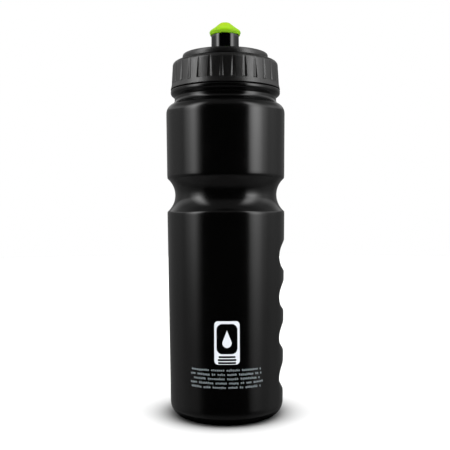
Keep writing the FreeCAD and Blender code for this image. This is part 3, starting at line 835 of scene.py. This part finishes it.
# %% A node tree to fill
class Finish:
    """A node tree being filled: of a material, or of the world."""

    def __init__(self, owner):
        owner.use_nodes = True
        self.owner = owner
        self.tree = owner.node_tree
        self.tree.nodes.clear()

    def node(self, kind, settings=None, inputs=None, output=0):
        """Adds a node: its settings first, then each input as a number or a wire."""
        made = self.tree.nodes.new(kind)
        for name, value in (settings or {}).items():
            if name == "stops":
                self.set_stops(made.color_ramp, value)
            else:
                setattr(made, name, value)
        for key, value in (inputs or {}).items():
            if isinstance(value, Wire):
                self.tree.links.new(value.socket, made.inputs[key])
            else:
                made.inputs[key].default_value = value
        return Wire(self, made.outputs[output]) if len(made.outputs) else made

    def set_stops(self, ramp, stops):
        """Gives a ramp its stops, as (place, brightness) pairs."""
        while len(ramp.elements) < len(stops):
            ramp.elements.new(1.0)
        for element, (place, level) in zip(ramp.elements, stops):
            element.position = place
            element.color = (level, level, level, 1)

    def place(self):
        """Coordinates fixed to the piece, in metres."""
        return self.node("ShaderNodeTexCoord", output="Object")

    def axes(self, vector):
        """The x, y and z of a vector, as three wires."""
        split = self.node("ShaderNodeSeparateXYZ", inputs={0: vector}).socket.node
        return [Wire(self, output) for output in split.outputs]

    def noise(self, scale, detail=2.0, vector=None):
        """Soft cloudy noise between 0 and 1, with features about 1 / scale metres wide."""
        vector = vector or self.place()
        return self.node("ShaderNodeTexNoise", inputs={
            "Vector": vector, "Scale": scale, "Detail": detail})

    def blend(self, factor, first, second):
        """A colour between two colours."""
        return self.node("ShaderNodeMix", {"data_type": "RGBA"}, {
            0: factor, 6: (*first, 1), 7: (*second, 1)}, output=2)

    def bump(self, height, distance, strength=1.0, before=None):
        """A normal tilted by a height pattern whose full range is distance metres."""
        inputs = {"Height": height, "Distance": distance, "Strength": strength}
        if before is not None:
            inputs["Normal"] = before
        return self.node("ShaderNodeBump", inputs=inputs)

    def plastic(self, **inputs):
        """The surface shader, with each input named as in Blender, spaces as underscores."""
        named = {name.replace("_", " "): value for name, value in inputs.items()}
        shader = self.node("ShaderNodeBsdfPrincipled", inputs=named)
        self.node("ShaderNodeOutputMaterial", inputs={"Surface": shader})
        return self.owner


def new_finish(name):
    """An empty material to fill."""
    return Finish(bpy.data.materials.new(name))


def wear(piece, material):
    """Gives a piece its one material."""
    piece.data.materials.clear()
    piece.data.materials.append(material)


print("materials on the frame so far:", len(bpy.data.materials))

# %% [markdown]
# ## The finishes
#
# Black plastic looks different on each piece because of its surface, not its colour. The blown
# body is semi-gloss with faint ripples, the cap is spark-eroded to a fine matte grain, and the
# sleeve is polished. Small changes in roughness keep the reflections from looking like glass.

# %% Black finishes
def body_black():
    """Semi-gloss polyethylene: slight ripples from blowing and a little uneven sheen."""
    finish = new_finish("bottle_black")
    ripple = finish.noise(38, 1.5)
    cloud = finish.noise(90, 3.0)
    haze = finish.noise(2600, 2.0)
    colour = finish.blend(cloud, (0.0006, 0.0006, 0.0006), (0.0010, 0.0010, 0.0010))
    roughness = 0.13 + cloud * 0.06 + haze * 0.03
    normal = finish.bump(ripple, 0.00012, 0.35)
    normal = finish.bump(haze, 0.000003, 0.5, normal)
    return finish.plastic(Base_Color=colour, Roughness=roughness, Normal=normal, IOR=1.5)


def cap_black():
    """Matte moulded plastic with a fine eroded grain and faint upright drag marks."""
    finish = new_finish("cap_black")
    grain = finish.noise(3600, 3.0)
    cloud = finish.noise(160, 3.0)
    upright = finish.node("ShaderNodeVectorMath", {"operation": "MULTIPLY"}, {
        0: finish.place(), 1: (1, 1, 0.1)})
    streak = finish.noise(1400, 2.0, upright)
    colour = finish.blend(grain, (0.0010, 0.0010, 0.0009), (0.0034, 0.0032, 0.0030))
    roughness = 0.18 + cloud * 0.07 + grain * 0.06 + streak * 0.16
    mottle = finish.noise(1100, 2.0)
    normal = finish.bump(mottle + streak * 0.7, 0.00005, 0.6)
    normal = finish.bump(grain, 0.00006, 0.35, normal)
    return finish.plastic(Base_Color=colour, Roughness=roughness, Normal=normal, IOR=1.7)


def sleeve_black():
    """Polished moulded plastic with faint turning marks from sliding up and down."""
    finish = new_finish("sleeve_black")
    marks = finish.noise(700, 2.0)
    colour = finish.blend(marks, (0.0006, 0.0006, 0.0008), (0.0014, 0.0014, 0.0018))
    roughness = 0.07 + marks * 0.05
    normal = finish.bump(marks, 0.000008, 0.3)
    return finish.plastic(Base_Color=colour, Roughness=roughness, Normal=normal, IOR=1.6)


wear(body, body_black())
cap_finish = cap_black()
for part in (cap, pin, ribs):
    wear(part, cap_finish)
wear(sleeve, sleeve_black())
print("black plastic on:", body.name, cap.name, pin.name, ribs.name, sleeve.name)

# %% [markdown]
# ## Soft tip, seal and inks
#
# The tip is a soft elastomer: light goes a little way into it, so it looks warmer and less hard
# than painted plastic. One flat green would look like paint, so the green changes with height and
# a trace of subsurface scattering blurs it. More scattering than that shows up as speckles on a
# piece this small. The seal is dull rubber, and ink is nearly even with a fine stipple.

# %% Green tip, grey seal and inks
def tip_green():
    """Soft elastomer: satin, slightly see-through, and yellower towards the crown."""
    finish = new_finish("tip_green")
    cloud = finish.noise(220, 3.0)
    grain = finish.noise(5200, 2.0)
    height = finish.axes(finish.place())[2]
    rise = finish.node("ShaderNodeMapRange", inputs={
        "Value": height, "From Min": SLEEVE_SHOULDER * MM, "From Max": TIP_TOP * MM})
    colour = finish.blend(rise * 0.8 + cloud * 0.2, (0.24, 0.58, 0.0008), (0.37, 0.52, 0.0012))
    roughness = 0.36 + grain * 0.1
    normal = finish.bump(grain, 0.00002, 0.4)
    return finish.plastic(
        Base_Color=colour, Roughness=roughness, Normal=normal, IOR=1.45,
        Subsurface_Weight=0.1, Subsurface_Scale=0.001, Specular_IOR_Level=0.3,
    )


def seal_grey():
    """Soft sealing rubber with a dusty bloom."""
    finish = new_finish("seal_grey")
    cloud = finish.noise(400, 4.0)
    colour = finish.blend(cloud, (0.40, 0.41, 0.41), (0.52, 0.53, 0.53))
    normal = finish.bump(finish.noise(4000, 2.0), 0.00002, 0.5)
    return finish.plastic(Base_Color=colour, Roughness=0.6 + cloud * 0.15, Normal=normal)


def ink(name, dark, light, shine):
    """Pad-printed ink: nearly even, with a fine stipple where the plastic shows through."""
    finish = new_finish(name)
    stipple = finish.noise(3000, 3.0)
    colour = finish.blend(stipple, dark, light)
    normal = finish.bump(stipple, 0.000006, 0.5)
    return finish.plastic(Base_Color=colour, Roughness=shine + stipple * 0.12, Normal=normal)


white_ink = ink("ink_white", (0.66, 0.69, 0.74), (0.78, 0.81, 0.86), 0.34)
thin_ink = ink("ink_white_thin", (0.36, 0.42, 0.45), (0.46, 0.52, 0.55), 0.34)
# The black ink is print on the badge, and painted shade on the dark ring under the foot.
black_ink_and_painted_shade = ink("ink_black_and_painted_shade", (0.0006, 0.0006, 0.0006), (0.0014, 0.0014, 0.0014), 0.1)
wear(tip, tip_green())
wear(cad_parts["cap_seal"], seal_grey())
for part in (badge, drop):
    wear(part, white_ink)
wear(lines, thin_ink)
for part in (panel, bars):
    wear(part, black_ink_and_painted_shade)
print("finishes:", sorted(material.name for material in bpy.data.materials))

# %% [markdown]
# ## The studio
#
# Gloss shows its surroundings, so the light is what draws this bottle. Two tall softboxes stand in
# front to the left and right, with sharp inner edges, and the room between them is dark: that
# gives two bright bands and a black middle. They are painted on the world as functions of compass
# angle and height, which is free of noise. The floor and the wall behind are a pale bowl that the
# camera sees and the gloss does not.

# %% Where the lights stand
# A list holds pairs of an angle and a brightness. Angles across are degrees of the compass from
# the front, above zero to the right, and angles up are degrees over the horizon.
RIGHT_ACROSS = [
    (44.5, 0.0), (46.5, 0.5), (55, 1.0), (62, 1.0), (69, 0.74), (76, 0.32), (90, 0.06), (120, 0.0),
]
RIGHT_UP = [
    (-20, 0.0), (-12, 0.09), (-8.5, 0.13), (-5.4, 0.24), (-2.2, 0.32), (0, 0.5), (4.2, 0.69),
    (6.8, 1.0), (8.5, 1.08), (12, 0.85), (16, 0.7), (25, 0.68), (34, 0.72), (42, 0.45),
    (52, 0.14), (60, 0.0),
]
LEFT_ACROSS = [
    (-120, 0.0), (-88, 0.02), (-80, 0.2), (-74, 0.32), (-68, 0.54), (-62, 0.62), (-57, 0.36),
    (-53, 0.14), (-49.5, 0.05), (-48.5, 0.0),
]
LEFT_UP = [
    (-20, 0.0), (-12, 0.02), (-8.8, 0.05), (-5.4, 0.12), (-2.0, 0.24), (0, 0.33), (4.8, 0.46),
    (6.5, 0.51), (8.5, 0.6), (13, 1.0), (24, 1.0), (34, 0.8), (42, 0.5), (52, 0.12), (60, 0.0),
]
SIDES_ACROSS = [
    (-180, 0.2), (-130, 0.28), (-100, 0.38), (-60, 0.22), (-47, 0.05), (-44, 0.0), (44, 0.0),
    (47, 0.05), (60, 0.25), (100, 0.42), (130, 0.22), (180, 0.2),
]
SIDES_UP = [
    (-60, 0.15), (-28, 0.32), (-18, 0.62), (-9, 0.64), (0, 0.87), (9, 1.0), (13.5, 0.9),
    (16.5, 2.6), (22, 2.6), (34, 0.7), (60, 0.1),
]
CEILING_UP = [(22, 0.0), (40, 1.0), (72, 1.0), (86, 0.2)]
GROUND_UP = [(-42, 1.0), (-22, 0.0)]
RIGHT_STRENGTH, LEFT_STRENGTH = 4.8, 8.2
CEILING_STRENGTH, GROUND_STRENGTH = 0.14, 0.12
LEAN_START, LEAN = 0.3, 0.3
ALL_ROUND, UP_AND_DOWN = 360, 180
print("softboxes from", RIGHT_ACROSS[0][0], "and", LEFT_ACROSS[-1][0], "degrees outwards")


# %% Softboxes on the world
def studio_light():
    """Brightness of each direction: compass angle times height, for each light, added up.

    The softboxes lean in: where the sine of the height is over LEAN_START, the compass angle is
    multiplied by 1 + LEAN * (sine - LEAN_START) before it is looked up, which moves a box's edge
    towards the front.
    """
    world = Finish(bpy.data.worlds.new("studio"))
    x, y, z = world.axes(world.node("ShaderNodeTexCoord", output="Generated"))
    compass = world.node("ShaderNodeMath", {"operation": "ARCTAN2"}, {0: x, 1: 0 - y})
    climb = world.node("ShaderNodeMath", {"operation": "ARCSINE"}, {0: z})
    turn = compass / (2 * np.pi) + 0.5
    tilt = climb / np.pi + 0.5
    high = world.node("ShaderNodeMath", {"operation": "MAXIMUM"}, {0: z - LEAN_START, 1: 0.0})
    box_turn = compass * (high * LEAN + 1) / (2 * np.pi) + 0.5

    def ramp(stops, full_range, wire):
        """Brightness along a wire from 0 to 1, which stands for full_range degrees about 0."""
        places = [(degrees / full_range + 0.5, level) for degrees, level in stops]
        return world.node("ShaderNodeValToRGB", {"stops": places}, {0: wire})

    right_box = ramp(RIGHT_ACROSS, ALL_ROUND, box_turn) * ramp(RIGHT_UP, UP_AND_DOWN, tilt)
    left_box = ramp(LEFT_ACROSS, ALL_ROUND, box_turn) * ramp(LEFT_UP, UP_AND_DOWN, tilt)
    sides = ramp(SIDES_ACROSS, ALL_ROUND, turn) * ramp(SIDES_UP, UP_AND_DOWN, tilt)
    ceiling = ramp(CEILING_UP, UP_AND_DOWN, tilt)
    ground = ramp(GROUND_UP, UP_AND_DOWN, tilt)
    brightness = right_box * RIGHT_STRENGTH + left_box * LEFT_STRENGTH
    brightness = brightness + sides
    brightness = brightness + ceiling * CEILING_STRENGTH + ground * GROUND_STRENGTH
    light = world.node("ShaderNodeBackground", inputs={
        "Color": (1, 1, 1, 1), "Strength": brightness})
    world.node("ShaderNodeOutputWorld", inputs={"Surface": light})
    return world.owner


bpy.context.scene.world = studio_light()
bpy.context.scene.view_settings.view_transform = "Standard"
print("world:", bpy.context.scene.world.name)

# %% A wide overhead light that gloss doesn't show
def hide_from(thing, *rays):
    """Makes a light or a stage piece invisible to some kinds of ray."""
    for ray in rays:
        setattr(thing, "visible_" + ray, False)


overhead_data = bpy.data.lights.new("overhead", "SUN")
overhead_data.energy = 3.4
overhead_data.angle = radians(110)
overhead = bpy.data.objects.new("overhead", overhead_data)
hide_from(overhead, "glossy")
bpy.context.scene.collection.objects.link(overhead)
print(f"overhead light: {np.degrees(overhead_data.angle):.0f} degrees wide")

# %% [markdown]
# ## The paper and the painted shadow at the foot
#
# The bottle stands on white paper. The wide light alone leaves the paper too pale right beside the
# foot, so a contact shadow is painted into the paper's own colour, worked out from the distance to
# a point near the bottle's axis. The rounding above the foot would mirror that painted shadow, but
# the gloss doesn't see the paper, so a flat dark ring that only the gloss sees takes its place.

# %% Finishes of the floor and the wall
SHADE_CENTRE = (-1.2, 4.5)
SHADE_MIDDLE, SHADE_POWER = 38.2, 8.3
PAPER = 0.93


def floor_with_painted_shadow():
    """Matte white paper with a painted contact shadow round the bottle's foot, and clear when
    looked at from below.

    The share of white is s / (s + 1), where s is (r / SHADE_MIDDLE) ^ SHADE_POWER and r is the
    distance from SHADE_CENTRE.
    """
    finish = new_finish("floor_white_painted_shadow")
    to_centre = (-SHADE_CENTRE[0] * MM, -SHADE_CENTRE[1] * MM, 0)
    flat = finish.node("ShaderNodeVectorMath", {"operation": "MULTIPLY_ADD"}, {
        0: finish.place(), 1: (1, 1, 0), 2: to_centre})
    reach = finish.node("ShaderNodeVectorMath", {"operation": "LENGTH"}, {0: flat}, "Value")
    steep = finish.node("ShaderNodeMath", {"operation": "POWER"}, {
        0: reach / (SHADE_MIDDLE * MM), 1: SHADE_POWER})
    # Painted contact shadow: the paper's colour runs from black at the foot to white further out.
    colour = finish.blend(steep / (steep + 1), (0.0, 0.0, 0.0), (PAPER, PAPER, PAPER))
    matte = finish.node("ShaderNodeBsdfDiffuse", inputs={"Color": colour})
    clear = finish.node("ShaderNodeBsdfTransparent")
    below = finish.node("ShaderNodeNewGeometry", output="Backfacing")
    shader = finish.node("ShaderNodeMixShader", inputs={0: below, 1: matte, 2: clear})
    finish.node("ShaderNodeOutputMaterial", inputs={"Surface": shader})
    return finish.owner


def pale_wall():
    """Evenly lit white paper."""
    finish = new_finish("wall_white")
    shine = finish.node("ShaderNodeEmission", inputs={"Color": (1, 1, 1, 1), "Strength": 1.0})
    finish.node("ShaderNodeOutputMaterial", inputs={"Surface": shine})
    return finish.owner


print(f"paper: reflects {PAPER:.0%}, and half of that {SHADE_MIDDLE} mm from the shade's centre")

# %% Make the floor, the wall and the foot's shade
FLOOR_RADIUS, WALL_HEIGHT = 1600.0, 1500.0
CONTACT_INNER, CONTACT_OUTER = 23.0, 37.0
STAGE_COLUMNS = 96


def level_circle(radius, height):
    """Points of a level circle about the bottle's axis."""
    angle = even_angles(STAGE_COLUMNS)
    level = np.full(STAGE_COLUMNS, height)
    return np.stack([radius * np.cos(angle), radius * np.sin(angle), level], axis=-1)


def disc(name, radius):
    """A flat round sheet facing up, in the plane that the bottle stands on."""
    points = np.vstack([level_circle(radius, 0.0), [[0, 0, 0]]])
    here = np.arange(STAGE_COLUMNS)
    middle = np.full(STAGE_COLUMNS, STAGE_COLUMNS)
    faces = np.stack([here, (here + 1) % STAGE_COLUMNS, middle], axis=-1)
    return make_piece(name, points, faces.tolist())


def band(name, first, second):
    """Quads between two circles, each (radius, height): a ring facing up or a wall facing in."""
    points = np.vstack([level_circle(*first), level_circle(*second)])
    return make_piece(name, points, grid_quads(2, STAGE_COLUMNS, False, True)[:, ::-1].tolist())


floor = disc("floor", FLOOR_RADIUS)
backdrop = band("backdrop", (FLOOR_RADIUS, -WALL_HEIGHT / 3), (FLOOR_RADIUS, WALL_HEIGHT))
# A flat black ring under the foot that only gloss sees: a painted reflection of the contact shadow.
foot_shade = band("foot_shade", (CONTACT_INNER, 0.0), (CONTACT_OUTER, 0.0))
wear(floor, floor_with_painted_shadow())
wear(backdrop, pale_wall())
# On this ring the black ink is painted shade for the gloss to mirror, not print.
wear(foot_shade, black_ink_and_painted_shade)
hide_from(floor, "glossy")
hide_from(backdrop, "diffuse", "glossy", "shadow", "transmission", "volume_scatter")
hide_from(foot_shade, "camera", "diffuse", "shadow", "transmission", "volume_scatter")
print("stage:", floor.name, backdrop.name, foot_shade.name)

# %% [markdown]
# ## The camera
#
# The camera stands close by, a little over half the bottle's height up, so that the cap is seen
# slightly from below and the base slightly from above.

# %% Place the camera
CAMERA_DISTANCE, CAMERA_HEIGHT, CAMERA_SIDE = 445.8, 126.2, -0.6
CAMERA_PITCH, CAMERA_ROLL = -0.018, -0.0046
camera_data = bpy.data.cameras.new("camera")
camera_data.sensor_width = 36.0
camera_data.lens = 56.75
camera_data.clip_start = 0.01
camera = bpy.data.objects.new("camera", camera_data)
camera.location = Vector((CAMERA_SIDE, -CAMERA_DISTANCE, CAMERA_HEIGHT)) * MM
look = Euler((np.pi / 2 + CAMERA_PITCH, 0, 0)).to_matrix() @ Euler((0, 0, CAMERA_ROLL)).to_matrix()
camera.rotation_euler = look.to_euler()
bpy.context.scene.collection.objects.link(camera)
bpy.context.scene.camera = camera
print("camera at", [round(value, 4) for value in camera.location])
